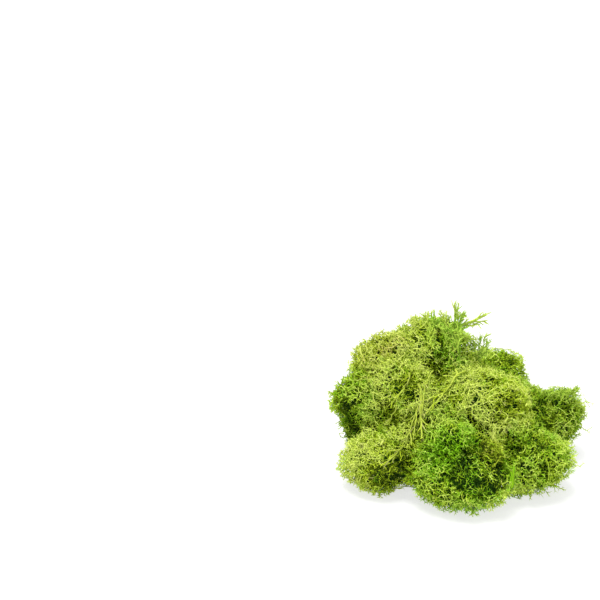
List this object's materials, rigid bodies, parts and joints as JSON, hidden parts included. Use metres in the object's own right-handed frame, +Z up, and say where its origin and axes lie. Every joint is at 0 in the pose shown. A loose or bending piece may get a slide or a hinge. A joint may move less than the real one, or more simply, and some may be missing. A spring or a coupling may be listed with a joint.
{
  "type": "reindeer moss clump",
  "caption": "Low uneven clump of preserved reindeer moss: dense round heads of fine forked branches grown together, with a few long sprays on top.",
  "frame": {"origin": "on the ground under the middle of the clump, on the flat spot that it rests on", "axes": "+Z up; +X to the right and +Y away from the viewer, with the tall crown at the left and the wide front head at -Y"},
  "size_m": [0.1639, 0.1575, 0.0949],
  "materials": {
    "yellow_green_moss": "matte, soft and branching",
    "fresh_green_moss": "matte, soft and branching",
    "dark_green_moss": "matte, soft and branching",
    "olive_green_moss": "matte, soft and branching"
  },
  "bodies": {
    "root": {"front_head": "fresh_green_moss", "front_left_head": "yellow_green_moss", "front_right_head": "fresh_green_moss", "right_head": "dark_green_moss", "left_low_head": "dark_green_moss", "left_head": "fresh_green_moss", "crown_left_head": "olive_green_moss", "crown_head": "yellow_green_moss", "middle_head": "yellow_green_moss", "shelf_head": "yellow_green_moss", "bright_head": "fresh_green_moss", "knob_head": "olive_green_moss", "upper_right_head": "fresh_green_moss", "back_left_head": "fresh_green_moss", "back_head": "yellow_green_moss", "back_right_head": "dark_green_moss"}
  },
  "joints": []
}
